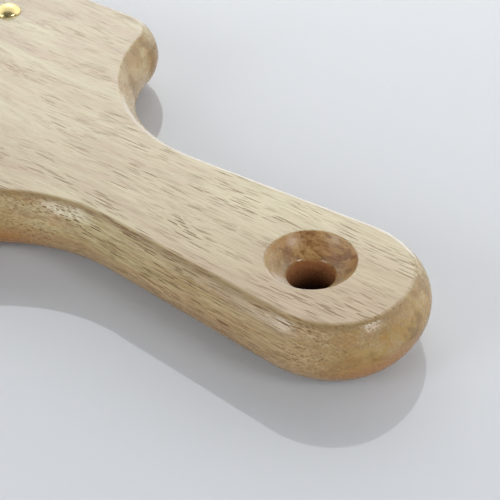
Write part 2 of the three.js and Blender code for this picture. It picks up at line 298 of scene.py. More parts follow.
class Finish(NodeSketch):
    """A material for one kind of surface."""

    def __init__(self, name):
        self.colours = bpy.context.scene.carder_finishes
        self.material = bpy.data.materials.new(name)
        self.material.use_nodes = True
        super().__init__(self.material.node_tree)

    def place(self):
        """Object coordinates in millimetres."""
        raw = self.node("ShaderNodeTexCoord", output="Object")
        return self.vector_maths("SCALE", {0: raw, "Scale": 1 / MM})

    def surface(self, **sockets):
        inputs = {name.replace("_", " "): value for name, value in sockets.items()}
        shader = self.node("ShaderNodeBsdfPrincipled", None, inputs)
        self.node("ShaderNodeOutputMaterial", None, {"Surface": shader}, None)
        return self.material


class LacqueredWood(Finish):
    """Pale hardwood under lacquer. The grain is a solid pattern that runs along X, so each cut shows its own side.

    Ranges on x, y and z are places on the board in millimetres. The hanging end is at +x, the near side at -y.
    """

    # How often a pattern changes in a millimetre along the grain, across it and up through the board
    SWAY = (0.012, 0.04, 0.04)
    PATCHES = (0.018, 0.11, 0.11)
    STREAKS = (0.045, 0.34, 0.34)
    FIGURE = (0.08, 0.9, 0.9)
    FIBRES = (0.05, 2.2, 2.2)
    BLOTCHES = (0.06, 0.17, 0.17)
    CLOUDS = (0.12, 0.12, 0.2)
    BANDS = (0.014, 0.34, 0.34)
    FINE_PORES = (0.12, 2.8, 2.8)
    COARSE_PORES = (0.08, 1.9, 1.9)
    CLUSTERS = (0.05, 0.22, 0.22)
    TURNED = (0.12, 0.5, 0.5)
    WEAR = (0.3, 1.1, 1.1)
    ALONG_RINGS, ACROSS_RINGS = 0.004, 0.36
    TORN = 2.4
    # Millimetres: how far the grain sways, and how far the heart of the tree lies beside and below the board
    SWAY_REACH = (0, 6, 6)
    HEART_BESIDE, HEART_BELOW = 22, 60
    # How much a shade takes from red, green and blue
    SHADE_OF_CHANNELS = (0.95, 1.1, 1.5)

    def __init__(self, sizes):
        super().__init__("lacquered_wood")
        self.bowl = sizes.bowl_diameter / 2 / MM
        self.bore = sizes.bore_diameter / 2 / MM
        self.face = sizes.thickness / MM
        self.spot = self.place()
        self.x, self.y, self.z = self.parts(self.spot)
        facing = self.node("ShaderNodeTexCoord", output="Normal")
        self.facing_end, self.facing_far, self.facing_up = self.parts(facing)
        self.off_face = 1 - self.facing_up.from_to(0.86, 0.985)
        self.cut_across = self.facing_end.size().from_to(0.3, 0.95)
        self.hole = hole_x(sizes) / MM
        level_from_hole = self.stretched(self.shifted(self.spot, (-self.hole, 0, 0)), (1, 1, 0))
        self.from_hole = self.distance(level_from_hole)
        self.hollow = self.from_hole.from_to(self.bowl - 0.2, self.bowl + 0.3, 1, 0) * self.off_face
        self.outer = self.off_face * (1 - self.hollow)
        sway = self.noise(self.stretched(self.spot, self.SWAY), 1, 1, output="Color")
        sway = self.shifted(sway, (-0.5, -0.5, -0.5))
        self.grain = self.vector_maths("MULTIPLY_ADD", {0: sway, 1: self.SWAY_REACH, 2: self.spot})
        self.fibres = self.grained(self.FIBRES, 3, 0.65)
        self.streaks = self.grained(self.STREAKS, 2, 0.6)
        self.pores = self.pore_mask()

    def grained(self, scales, detail, roughness=0.5):
        """Noise that follows the swaying grain."""
        return self.noise(self.stretched(self.grain, scales), 1, detail, roughness)

    def long_grain(self):
        """Rings, patches and pink streaks, with fibres that shade them, and a painted sheen that lightens the face
        towards its far side. The wood darkens towards the near end.
        """
        along, across, up = self.parts(self.grain)
        from_heart = self.distance(self.vector(0, across + self.HEART_BESIDE, up + self.HEART_BELOW))
        rings = self.vector(along * self.ALONG_RINGS, from_heart * self.ACROSS_RINGS, 0)
        rings = self.noise(rings, 1, 2, 0.6).from_to(0.36, 0.64)
        patches = self.grained(self.PATCHES, 2).from_to(0.34, 0.66)
        near_end = self.x.from_to(50, 118, 0, 0.7) * self.y.from_to(-10, 12, 1, 0.1)
        body = self.blend(rings * 0.4 + patches * 0.6 + near_end, self.colours.wood_cream, self.colours.wood_tan)
        body = self.blend(self.streaks.from_to(0.49, 0.7, 0, 0.6), body, self.colours.wood_pink)
        figure = self.grained(self.FIGURE, 3, 0.6)
        shade = self.fibres.from_to(0.3, 0.7, -0.12, 0.10) + figure.from_to(0.3, 0.7, -0.04, 0.04)
        shade = shade * (self.off_face * 0.9 + 1) * (1 - self.cut_across * 0.2)
        # Painted sheen: the face is painted lighter towards its far side and a little darker towards its near side.
        shade = shade + (1 - self.off_face) * self.y.from_to(-18, 20, -0.06, 0.08)
        light = self.vector(*(shade * share + 1 for share in self.SHADE_OF_CHANNELS))
        return self.blend(1, body, light, "MULTIPLY")

    def end_grain(self, body):
        """Amber and olive blotches and grimy clouds where the wood is cut across."""
        blotches = self.grained(self.BLOTCHES, 4, 0.6)
        amber, olive = blotches.from_to(0.42, 0.5, 0.15, 1), blotches.from_to(0.5, 0.58, 0, 0.8)
        body = self.blend(self.cut_across * amber, body, self.colours.wood_end)
        body = self.blend(self.cut_across * olive, body, self.colours.wood_brow)
        clouds = self.grained(self.CLOUDS, 2).from_to(0.46, 0.6, 0, 0.5)
        return self.blend(clouds * self.cut_across, body, self.colours.wood_grime, "MULTIPLY")

    def rolled_sides(self, body):
        """Rust bands low on the sides, oil on the near and upper parts, and an olive line under the face's edge."""
        on_head = self.x.from_to(15, 45, 1, 0)
        bands = self.grained(self.BANDS, 3, 0.65).from_to(0.46, 0.62)
        low = self.z.from_to(5, 14, 1, 0.45) * self.y.from_to(8, 30, 1, 0.3)
        low = low * (self.cut_across * 0.4 + 0.35 + on_head * 1.1)
        lowest = self.z.from_to(5, 12, 1, 0) * self.y.from_to(-4, 8, 1, 0)
        lowest = lowest * (self.cut_across * 0.9 + 0.35 + on_head * 0.8) * self.x.from_to(-110, -70, 0.35, 1)
        rust = ((bands * 0.8 + 0.08) * low).bigger(lowest) * self.outer
        body = self.blend(rust, body, self.colours.wood_rust)
        oiled = self.y.from_to(2, 16, 1, 0).bigger(self.z.from_to(7, 14, 0, 0.8)) * self.outer
        body = self.blend(oiled, body, self.colours.wood_oiled, "MULTIPLY")
        under_edge = self.z.from_to(self.face - 1.3, self.face - 0.7) * self.y.from_to(-8, 2, 1, 0)
        brow = under_edge * self.outer * (1 - self.cut_across * 0.5) * self.streaks.from_to(0.3, 0.6, 0.5, 1)
        return self.blend(brow, body, self.colours.wood_brow)

    def pore_mask(self):
        """Short fine and coarse pores in clusters, fewer on end grain, in the hollow and on the head."""
        fine = self.cells(self.stretched(self.grain, self.FINE_PORES)).from_to(0.26, 0.30, 1, 0)
        coarse = self.shifted(self.stretched(self.grain, self.COARSE_PORES), (3.7, 1.3, 8.1))
        coarse = self.cells(coarse).from_to(0.23, 0.27, 1, 0)
        cluster = self.grained(self.CLUSTERS, 2).from_to(0.38, 0.64) + self.outer * 0.3
        pores = (fine * (cluster * 0.7 + 0.25) + coarse * (cluster * 0.9 + 0.15)).clipped()
        fewer = (1 - self.cut_across * 0.6) * (1 - self.hollow * 0.5) * self.x.from_to(-5, 45, 0.55, 1)
        return pores * fewer

    def turned_hollow(self, body):
        """Oily wood with painted shade on the far wall of the bowl and the bore, red-brown wood at the top of the
        bore, and painted shade that darkens the bore with depth, with dark torn fibres in the bore.
        """
        oil_and_shade_tint = tuple(oily / cream for oily, cream in zip(self.colours.wood_hollow_oil_and_shade, self.colours.wood_cream))
        oiled_and_shaded = self.blend(1, body, oil_and_shade_tint, "MULTIPLY")
        grimy = self.grained(self.TURNED, 4, 0.65).from_to(0.46, 0.6)
        oiled_and_shaded = self.blend(grimy, oiled_and_shaded, self.colours.wood_grime, "MULTIPLY")
        # Painted shade: only the far wall of the hollow takes the darker oily colour.
        shaded_far_wall = (self.y - (self.x - self.hole) * 0.25).from_to(-6, 5)
        body = self.blend(self.hollow * shaded_far_wall, body, oiled_and_shaded)
        body = self.blend(self.hollow * self.z.from_to(12.6, 13.8, 0.8, 0), body, self.colours.wood_bore)
        torn = self.noise(self.spot, self.TORN, 2, 0.6).from_to(0.45, 0.65, 0, 0.6)
        torn = torn * self.z.from_to(9, 14, 1, 0)
        # Painted shade: the bore is painted darker with depth, and its torn fibres take the same dark colour.
        dark = self.z.from_to(4.5, 12, 1, 0).bigger(torn)
        return self.blend(self.hollow * dark, body, self.colours.wood_bore_shade_and_fibres)

    def painted_edge_highlight(self, body):
        """Partly painted highlight: pale colour on the rounded edges that face away from the near side, towards the
        bright lamp behind, standing for their gloss as well as for pale sanded wood.
        """
        away = (self.facing_far - self.facing_end.size()).from_to(0.02, 0.16) * self.facing_up.from_to(0.62, 0.74)
        away = away * self.from_hole.from_to(self.bowl + 1, self.bowl + 3, 0.4, 0.85)
        return self.blend(away * self.x.from_to(25, 60, 0.6, 1), body, self.colours.wood_rim_highlight)

    def gloss(self):
        """Roughness of the lacquer: worn on the sides, open over the pores and rubbed dull in the bowl."""
        worn = self.grained(self.WEAR, 3, 0.7).from_to(0.46, 0.6, 0, 0.2)
        rough = self.fibres.from_to(0.3, 0.7, 0.13, 0.25) + worn * self.outer * (1 - self.cut_across * 0.6)
        in_bowl = self.hollow * self.from_hole.from_to(self.bore + 0.15, self.bore + 2.25)
        return rough + self.pores * 0.4 + in_bowl * self.y.from_to(-3, 3, 0.4, 0.15)

    def made(self):
        body = self.rolled_sides(self.end_grain(self.long_grain()))
        body = self.blend(self.pores * (self.outer * 0.15 + 0.8), body, self.colours.pore)
        return self.surface(
            Base_Color=self.painted_edge_highlight(self.turned_hollow(body)),
            Roughness=self.gloss(),
            Normal=self.bump(self.fibres * 0.3 - self.pores, 0.05 * MM, 0.5),
            IOR=1.5,
        )


def brass_finish():
    brass = Finish("polished_brass")
    place = brass.place()
    scuffs = brass.noise(place, 0.7, 1)
    tarnish = brass.noise(place, 0.6, 2).from_to(0.5, 0.8)
    dulled = tuple(0.8 * channel for channel in brass.colours.brass)
    return brass.surface(
        Base_Color=brass.blend(tarnish * 0.5, brass.colours.brass, dulled),
        Metallic=1,
        Roughness=scuffs.from_to(0.3, 0.7, 0.24, 0.32),
    )


def steel_finish():
    steel = Finish("bright_steel_wire")
    place = steel.place()
    drawn = steel.noise(steel.stretched(place, (3, 3, 0.5)), 1, 2)
    bright = tuple(min(1, 1.25 * channel) for channel in steel.colours.steel)
    return steel.surface(
        Base_Color=steel.blend(drawn.from_to(0.35, 0.65), steel.colours.steel, bright),
        Metallic=1,
        Roughness=drawn.from_to(0.3, 0.7, 0.22, 0.36),
    )


def rubber_finish():
    rubber = Finish("card_rubber")
    place = rubber.place()
    grit = rubber.noise(place, 6, 3)
    cloudy = rubber.noise(place, 0.12, 2)
    lighter = tuple(1.5 * channel + 0.01 for channel in rubber.colours.rubber)
    return rubber.surface(
        Base_Color=rubber.blend(cloudy.from_to(0.35, 0.7) * 0.6, rubber.colours.rubber, lighter),
        Roughness=grit.from_to(0.3, 0.7, 0.62, 0.78),
        Normal=rubber.bump(grit, 0.05 * MM, 0.5),
    )


def felt_finish():
    felt = Finish("wool_felt")
    hairs = felt.noise(felt.place(), 4, 5, 0.7)
    darker = tuple(0.7 * channel for channel in felt.colours.felt)
    return felt.surface(
        Base_Color=felt.blend(hairs.from_to(0.35, 0.65), darker, felt.colours.felt),
        Roughness=0.95,
        Normal=felt.bump(hairs, 0.15 * MM),
    )


def cotton_finish():
    """Threads along X and along Y that pass over each other in turn."""
    cotton = Finish("cotton_twill")
    x, y, _ = cotton.parts(cotton.place())
    turn_in_millimetre = 7
    warp, weft = (
        cotton.node("ShaderNodeMath", {"operation": "SINE"}, {0: side * turn_in_millimetre}) for side in (x, y)
    )
    weave = (warp * weft).from_to(-1, 1)
    darker = tuple(0.6 * channel for channel in cotton.colours.cotton)
    return cotton.surface(
        Base_Color=cotton.blend(weave, darker, cotton.colours.cotton),
        Roughness=0.9,
        Normal=cotton.bump(weave, 0.12 * MM),
    )


def table_finish():
    stage = bpy.context.scene.carder_stage
    table = Finish("glossy_table")
    mottle = table.noise(table.place(), 0.004, 2)
    tinted = tuple(0.98 * channel for channel in stage.table_colour)
    return table.surface(
        Base_Color=table.blend(mottle, stage.table_colour, tinted),
        Roughness=0.03,
        IOR=1.49,
        Subsurface_Weight=0.5,
        Subsurface_Scale=6 * MM,
        Subsurface_Radius=(1, 0.85, 1),
    )


# --- Modelling helpers ---


def deselect_all():
    if bpy.context.object and bpy.context.object.mode != "OBJECT":
        bpy.ops.object.mode_set(mode="OBJECT")
    bpy.ops.object.select_all(action="DESELECT")


def pick(piece):
    """Makes the piece the only selected one and the active one."""
    deselect_all()
    piece.select_set(True)
    bpy.context.view_layer.objects.active = piece


def added(name):
    """The object that the last operator added, under a new name and with its place put into its mesh."""
    piece = bpy.context.object
    piece.name = name
    piece.data.name = name
    bpy.ops.object.transform_apply(location=True, rotation=True, scale=True)
    return piece


def drawn_line(name, points):
    """New object, left in edit mode and selected, whose one vertex was extruded from point to point."""
    deselect_all()
    bpy.ops.mesh.primitive_plane_add(size=MM)
    line = added(name)
    edit(line)
    bpy.ops.mesh.select_mode(type="VERT")
    bpy.ops.mesh.merge(type="CENTER")
    bpy.ops.transform.translate(value=points[0])
    for here, there in zip(points, points[1:]):
        extrude(*(Vector(there) - Vector(here)))
    bpy.ops.mesh.select_all(action="SELECT")
    return line


def edit(piece):
    """Opens the piece in edit mode with all of it selected."""
    pick(piece)
    bpy.ops.object.mode_set(mode="EDIT")
    bpy.ops.mesh.select_all(action="SELECT")


def close_edit():
    bpy.ops.object.mode_set(mode="OBJECT")


def extrude(x, y, z):
    bpy.ops.mesh.extrude_region_move(TRANSFORM_OT_translate={"value": (x, y, z)})


def round_edges(radius, steps):
    bpy.ops.mesh.bevel(
        offset=radius, offset_type="OFFSET", segments=steps, profile=0.5, affect="EDGES", clamp_overlap=False
    )


def face_outwards():
    """In edit mode, selects all and turns every face outwards."""
    bpy.ops.mesh.select_all(action="SELECT")
    bpy.ops.mesh.normals_make_consistent(inside=False)


def select_where(piece, kind, test):
    """In edit mode, selects the vertices, edges or faces that the test holds for, and nothing else."""
    bpy.ops.mesh.select_mode(type=kind)
    bpy.ops.mesh.select_all(action="DESELECT")
    mesh = bmesh.from_edit_mesh(piece.data)
    for element in {"VERT": mesh.verts, "EDGE": mesh.edges, "FACE": mesh.faces}[kind]:
        if test(element):
            element.select_set(True)
    mesh.select_flush_mode()
    bmesh.update_edit_mesh(piece.data)


def apply_modifier(piece, kind, name, **settings):
    pick(piece)
    modifier = piece.modifiers.new(name, kind)
    for key, value in settings.items():
        setattr(modifier, key, value)
    bpy.ops.object.modifier_apply(modifier=modifier.name)


def cut(piece, cutter, name):
    """Takes the cutter's shape out of the piece, and throws the cutter away."""
    apply_modifier(piece, "BOOLEAN", name, operation="DIFFERENCE", solver="EXACT", object=cutter)
    bpy.data.objects.remove(cutter)


def smooth(piece, degrees):
    pick(piece)
    bpy.ops.object.shade_smooth_by_angle(angle=math.radians(degrees))


def finish_piece(piece, material, slot, *nodes):
    """Gives the piece its material, and lets it ride with the carder in place of its CAD nodes."""
    piece.data.materials.clear()
    piece.data.materials.append(material)
    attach(piece, BODY)
    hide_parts(*nodes)


# --- Plan of the board ---

END_STEPS = 40
SHOULDER_STEPS = 56
CORNER_STEPS = 20
ROLL_STEPS = 12
BOWL_STEPS = 16
WEAR_STEPS = 4
SOFT_EDGE_STEPS = 8
HOLE_STEPS = 96
POCKET_STEPS = 12

# Ends that differ in place by less lie at one level
LEVEL = 0.01 * MM
# How far a cutter reaches past the wood that it cuts
PAST_WOOD = 2 * MM
# Between two plies, or between a piece and the wood round it
FIT = 0.1 * MM
# Faces that meet at more than so many degrees keep a crisp edge
CRISP_ANGLE = 32
CRISP_METAL_ANGLE = 40


def side_bulge(sizes):
    """How far the rolled side stands out beyond the edge of the planed face."""
    above_middle = sizes.thickness - sizes.roll_radius
    return sizes.roll_radius - math.sqrt(sizes.roll_radius**2 - above_middle**2)


def hole_x(sizes):
    return BOARD_HIGH.x - side_bulge(sizes) - sizes.end_beyond_hole


def half_face_edge(sizes):
    """Edge of the planed face from the tip of the grip to the far edge of the head, on the +Y side."""
    hole = hole_x(sizes)
    bulge = side_bulge(sizes)
    far = BOARD_LOW.x + bulge
    head_half_width = BOARD_HIGH.y - bulge
    round_start = hole + sizes.end_beyond_hole - sizes.end_round_length

    def half_width(x):
        return sizes.grip_width / 2 + sizes.grip_taper * (x - hole)

    edge = []
    for i in range(END_STEPS + 1):
        turn = i / END_STEPS * math.pi / 2
        along = max(math.cos(turn), 0.0) ** (2 / sizes.end_round_power)
        across = math.sin(turn) ** (2 / sizes.end_round_power)
        edge.append((round_start + sizes.end_round_length * along, half_width(round_start) * across))
    neck_x = hole - sizes.hole_to_neck
    neck_y = half_width(neck_x)
    first = -math.atan(sizes.grip_taper)
    shoulder, corner = sizes.shoulder_radius, sizes.head_corner_radius
    last = math.acos((shoulder * math.cos(first) + corner - head_half_width + neck_y) / (shoulder + corner))
    for i in range(SHOULDER_STEPS + 1):
        turn = first + (last - first) * i / SHOULDER_STEPS
        x = neck_x - shoulder * (math.sin(turn) - math.sin(first))
        edge.append((x, neck_y + shoulder * (math.cos(first) - math.cos(turn))))
    turn_x, turn_y = edge[-1]
    for i in range(1, CORNER_STEPS + 1):
        turn = last * (1 - i / CORNER_STEPS)
        x = turn_x - corner * (math.sin(last) - math.sin(turn))
        edge.append((x, turn_y + corner * (math.cos(turn) - math.cos(last))))
    for i in range(CORNER_STEPS + 1):
        turn = i / CORNER_STEPS * math.pi / 2
        x = far + corner * (1 - math.sin(turn))
        edge.append((x, head_half_width - corner * (1 - math.cos(turn))))
    return edge


def widest_outline(sizes):
    """Outline of the board where its rolled side stands out most, anticlockwise from the tip of the grip."""
    half = half_face_edge(sizes)
    edge = [Vector(point) for point in half + [(x, -y) for x, y in half[:0:-1]]]
    moved = []
    for i, point in enumerate(edge):
        along = (edge[(i + 1) % len(edge)] - edge[i - 1]).normalized()
        moved.append(point + Vector((along.y, -along.x)) * side_bulge(sizes))
    return moved


# --- Pieces ---


class CarderStep:
    """What every build step shares."""

    bl_options = {"REGISTER", "UNDO"}


class CARDER_OT_board(CarderStep, bpy.types.Operator):
    """Turn a blank with rolled sides, plane its face flat, and cut the hanging hole and the clothing's pocket"""

    bl_idname = "carder.board"
    bl_label = "Board"

    def execute(self, context):
        sizes = context.scene.carder_board
        board = self.rolled_blank(sizes)
        self.plane_face(board, sizes)
        self.cut_hanging_hole(board, sizes)
        self.cut_pocket(board, context.scene.carder_clothing)
        self.drill_nail_holes(board, context.scene.carder_nails)
        smooth(board, CRISP_ANGLE)
        apply_modifier(board, "WEIGHTED_NORMAL", "flat face", keep_sharp=True)
        finish_piece(board, LacqueredWood(sizes).made(), "wood", "board")
        return {"FINISHED"}

    def rolled_blank(self, sizes):
        """Blank as high as two roll radii, with its sides rolled over all the way."""
        outline = [(point.x, point.y, 0.0) for point in widest_outline(sizes)]
        board = drawn_line("board_wood", outline)
        bpy.ops.mesh.edge_face_add()
        face_outwards()
        extrude(0, 0, 2 * sizes.roll_radius)
        face_outwards()
        select_where(board, "EDGE", lambda edge: abs(edge.verts[0].co.z - edge.verts[1].co.z) < LEVEL)
        almost_all = 0.999
        round_edges(sizes.roll_radius * almost_all, ROLL_STEPS)
        close_edit()
        return board

    def plane_face(self, board, sizes):
        """Planes the face flat and rounds its edge a little all the way."""
        edit(board)
        bpy.ops.mesh.bisect(
            plane_co=(0, 0, sizes.thickness), plane_no=(0, 0, 1), use_fill=True, clear_outer=True,
            threshold=0.001 * MM,
        )
        face_outwards()
        select_where(board, "EDGE", lambda edge: min(end.co.z for end in edge.verts) > sizes.thickness - LEVEL)
        round_edges(sizes.edge_wear, WEAR_STEPS)
        close_edit()

    def cut_hanging_hole(self, board, sizes):
        """Turns one cutter for the bowl with its worn rim, and for the bore with its soft edge and back chamfer.

        The bowl is part of a ball whose centre lies above the face, and each turn is counted from straight down.
        """
        rim, bore, depth, soft = sizes.bowl_diameter / 2, sizes.bore_diameter / 2, sizes.bowl_depth, sizes.bore_edge
        wear = sizes.edge_wear
        ball_height = (rim**2 - bore**2 - depth**2) / (2 * depth)
        ball = math.hypot(rim, ball_height)
        soft_radius = bore + soft
        soft_depth = math.sqrt((ball + soft) ** 2 - soft_radius**2) - ball_height
        above = 3 * MM
        rim_radius = math.sqrt((ball + wear) ** 2 - (ball_height + wear) ** 2)
        rim_turn = math.asin(rim_radius / (ball + wear))
        soft_turn = math.asin(soft_radius / (ball + soft))
        # A boolean can fail where two surfaces only touch, so the rim's rounding meets the face at a small angle
        lead = math.radians(10)
        outermost = rim_radius - wear * math.sin(lead) + (above + wear - wear * math.cos(lead)) / math.tan(lead)
        profile = [(0.0, above), (outermost, above)]
        for i in range(WEAR_STEPS + 1):
            turn = lead + (rim_turn - lead) * i / WEAR_STEPS
            profile.append((rim_radius - wear * math.sin(turn), wear * math.cos(turn) - wear))
        for i in range(1, BOWL_STEPS + 1):
            turn = rim_turn + (soft_turn - rim_turn) * i / BOWL_STEPS
            profile.append((ball * math.sin(turn), ball_height - ball * math.cos(turn)))
        for i in range(1, SOFT_EDGE_STEPS + 1):
            turn = soft_turn + (math.pi / 2 - soft_turn) * i / SOFT_EDGE_STEPS
            profile.append((soft_radius - soft * math.sin(turn), soft * math.cos(turn) - soft_depth))
        back, chamfer = -sizes.thickness, sizes.back_chamfer
        profile += [(bore, back + chamfer), (bore + 2 * chamfer, back - chamfer), (0.0, back - chamfer)]
        centre = Vector((hole_x(sizes), 0, sizes.thickness))
        cutter = drawn_line("hole_cutter", [centre + Vector((radius, 0, height)) for radius, height in profile])
        bpy.ops.mesh.spin(steps=HOLE_STEPS, angle=math.tau, center=centre, axis=(0, 0, 1))
        bpy.ops.mesh.select_all(action="SELECT")
        bpy.ops.mesh.remove_doubles(threshold=0.002 * MM)
        face_outwards()
        close_edit()
        cut(board, cutter, "hanging hole")

    def cut_pocket(self, board, sizes):
        low = RUBBER_LOW.xy - Vector((sizes.clearance, sizes.clearance))
        high = RUBBER_HIGH.xy + Vector((sizes.clearance, sizes.clearance))
        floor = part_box("felt_cushion")[0].z - FIT
        top = BOARD_HIGH.z + PAST_WOOD
        cutter = rounded_slab("pocket_cutter", low, high, floor, top, sizes.corner_radius)
        cut(board, cutter, "pocket")

    def drill_nail_holes(self, board, sizes):
        for node in NAIL_NODES:
            low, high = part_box(node)
            middle = (low + high) / 2
            deselect_all()
            bpy.ops.mesh.primitive_cylinder_add(
                vertices=16, radius=sizes.shank_diameter / 2 + FIT,
                depth=2 * (BOARD_HIGH.z - low.z + 3 * FIT), location=(middle.x, middle.y, BOARD_HIGH.z),
            )
            cut(board, added("nail_drill"), "nail hole")


def rounded_slab(name, low, high, bottom, top, corner_radius):
    """Flat block with round upright corners."""
    deselect_all()
    centre = (low + high) / 2
    bpy.ops.mesh.primitive_cube_add(
        size=1.0, location=(centre.x, centre.y, (bottom + top) / 2),
        scale=(high.x - low.x, high.y - low.y, top - bottom),
    )
    slab = added(name)
    edit(slab)
    select_where(slab, "EDGE", lambda edge: (edge.verts[0].co.xy - edge.verts[1].co.xy).length < LEVEL)
    round_edges(corner_radius, POCKET_STEPS)
    close_edit()
    return slab


class CARDER_OT_clothing(CarderStep, bpy.types.Operator):
    """Give the felt and the cloth in the pocket their finishes, and lay the rubber sheet over them"""

    bl_idname = "carder.clothing"
    bl_label = "Card clothing"

    def execute(self, context):
        sizes = context.scene.carder_clothing
        bottom = COTTON_HIGH.z + FIT
        top = bottom + sizes.sheet_thickness
        radius = sizes.corner_radius - sizes.clearance
        sheet = rounded_slab("rubber_sheet", RUBBER_LOW.xy, RUBBER_HIGH.xy, bottom, top, radius)
        apply_modifier(
            sheet, "BEVEL", "soft edge", width=0.25 * MM, segments=3, limit_method="ANGLE",
            angle_limit=math.radians(60),
        )
        smooth(sheet, CRISP_ANGLE)
        finish_piece(sheet, rubber_finish(), "rubber", "wired_rubber")
        for node, material in (("felt_cushion", felt_finish()), ("cotton_backing", cotton_finish())):
            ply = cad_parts[node]
            ply.data.materials.clear()
            ply.data.materials.append(material)
        return {"FINISHED"}


class CARDER_OT_wires(CarderStep, bpy.types.Operator):
    """Bend one steel wire and repeat it in staggered rows over the rubber"""

    bl_idname = "carder.wires"
    bl_label = "Wires"

    def execute(self, context):
        sizes = context.scene.carder_clothing
        field_x = RUBBER_HIGH.x - RUBBER_LOW.x - 2 * sizes.wire_margin
        field_y = RUBBER_HIGH.y - RUBBER_LOW.y - 2 * sizes.wire_margin
        pitch = sizes.wire_pitch
        rows = math.floor(field_x / pitch) + 1
        long_row = math.floor(field_y / pitch) + 1
        centre_x = (RUBBER_LOW.x + RUBBER_HIGH.x) / 2
        first_x = centre_x - (rows - 1) / 2 * pitch
        fields = []
        for start, in_row in ((0, long_row), (1, long_row - 1)):
            repeats = (rows - start + 1) // 2
            place = (first_x + start * pitch, -(in_row - 1) / 2 * pitch)
            fields.append(self.wire_field(sizes, place, repeats, in_row))
        deselect_all()
        for field in fields:
            field.select_set(True)
        bpy.context.view_layer.objects.active = fields[0]
        bpy.ops.object.join()
        wires = bpy.context.object
        wires.name = "card_wires"
        smooth(wires, CRISP_METAL_ANGLE)
        finish_piece(wires, steel_finish(), "rubber", "wired_rubber")
        return {"FINISHED"}

    def wire_field(self, sizes, place, repeats, in_row):
        """One wire, drawn out from a disc of its section, and repeated by two arrays."""
        root_depth = 0.6 * MM
        bend = 0.5 * MM
        tip_share = 0.55
        sheet_top = COTTON_HIGH.z + FIT + sizes.sheet_thickness
        deselect_all()
        bpy.ops.mesh.primitive_circle_add(
            vertices=6, radius=sizes.wire_diameter / 2, fill_type="NGON", location=(*place, sheet_top - root_depth)
        )
        wire = added("card_wires")
        edit(wire)
        lean = sizes.knee_back / (sizes.knee_height + root_depth)
        reach = sizes.tip_forward / (sizes.wire_height - sizes.knee_height)
        to_knee = sizes.knee_height + root_depth - bend
        to_tip = sizes.wire_height - sizes.knee_height - bend
        for slope, rise in ((-lean, to_knee), (-lean, bend), (reach, bend), (reach, to_tip)):
            extrude(slope * rise, 0, rise)
        bpy.ops.transform.resize(value=(tip_share, tip_share, 1))
        face_outwards()
        close_edit()
        for name, number_of, offset in (
            ("row", in_row, (0, sizes.wire_pitch, 0)),
            ("rows", repeats, (2 * sizes.wire_pitch, 0, 0)),
        ):
            apply_modifier(
                wire, "ARRAY", name, count=number_of, use_relative_offset=False, use_constant_offset=True,
                constant_offset_displace=offset,
            )
        return wire


class CARDER_OT_nails(CarderStep, bpy.types.Operator):
    """Turn one domed brass nail and stand a copy of it at each place round the pocket"""

    bl_idname = "carder.nails"
    bl_label = "Brass nails"

    def execute(self, context):
        sizes = context.scene.carder_nails
        material = brass_finish()
        pattern = self.nail(sizes)
        for node in NAIL_NODES:
            low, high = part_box(node)
            pick(pattern)
            bpy.ops.object.duplicate(linked=False)
            bpy.ops.transform.translate(value=((low.x + high.x) / 2, (low.y + high.y) / 2, BOARD_HIGH.z))
            nail = added(node.replace("brass_nail", "domed_nail"))
            finish_piece(nail, material, "brass", node)
        bpy.data.objects.remove(pattern)
        return {"FINISHED"}

    def nail(self, sizes):
        """Nail that stands on the origin: the cap of a ball over an upright rim, and a pointed shank below."""
        head, rise = sizes.head_diameter / 2, sizes.dome_height - sizes.head_edge
        ball = (head**2 + rise**2) / (2 * rise)
        cap_angle = math.asin(head / ball)
        rings = 12
        point_share = 0.1
        deselect_all()
        bpy.ops.mesh.primitive_circle_add(vertices=48, radius=head, fill_type="NGON")
        nail = added("nail_pattern")
        edit(nail)
        extrude(0, 0, sizes.head_edge)
        width, height = head, sizes.head_edge
        for i in range(1, rings):
            turn = cap_angle * (1 - i / rings)
            next_width = ball * math.sin(turn)
            next_height = sizes.dome_height - ball * (1 - math.cos(turn))
            extrude(0, 0, next_height - height)
            bpy.ops.transform.resize(value=(next_width / width, next_width / width, 1))
            width, height = next_width, next_height
        bpy.ops.mesh.poke(offset=sizes.dome_height - height)
        select_where(nail, "FACE", lambda face: face.normal.z < -0.9 or len(face.verts) > 4)
        shank = sizes.shank_diameter / 2
        shank_length = (NAIL_HIGH.z - NAIL_LOW.z) - sizes.dome_height
        bpy.ops.mesh.inset(thickness=head - shank)
        extrude(0, 0, sizes.point_length - shank_length)
        extrude(0, 0, -sizes.point_length)
        bpy.ops.transform.resize(value=(point_share, point_share, 1))
        face_outwards()
        close_edit()
        smooth(nail, CRISP_METAL_ANGLE)
        return nail


# --- Stage ---


class Lamp(NamedTuple):
    """Where a soft lamp stands, in degrees and metres as the carder sees it, and its share of the brightness."""

    name: str
    azimuth: float
    height: float
    distance: float
    half_width: float
    half_height: float
    share: float
    tint: tuple


WINDOW_LAMP = Lamp(
    "window_lamp", azimuth=129, height=38, distance=3.0, half_width=16, half_height=16, share=1.0,
    tint=(0.92, 0.965, 1.0),
)
SIDE_LAMPS = (
    Lamp(
        "left_lamp", azimuth=-111, height=26, distance=1.5, half_width=10.5, half_height=13, share=0.88,
        tint=(0.86, 0.93, 1.0),
    ),
    Lamp(
        "right_lamp", azimuth=0, height=34, distance=1.5, half_width=8.4, half_height=7.4, share=1.55,
        tint=(0.95, 0.97, 1.0),
    ),
)
# Power for each square metre of a lamp that looks as bright as white paper
WATTS_OF_WHITE = 4


def direction(azimuth, height):
    """Unit vector to an azimuth, counted from +X to +Y, and a height above the horizon, in radians."""
    level = math.cos(height)
    return Vector((level * math.cos(azimuth), level * math.sin(azimuth), math.sin(height)))


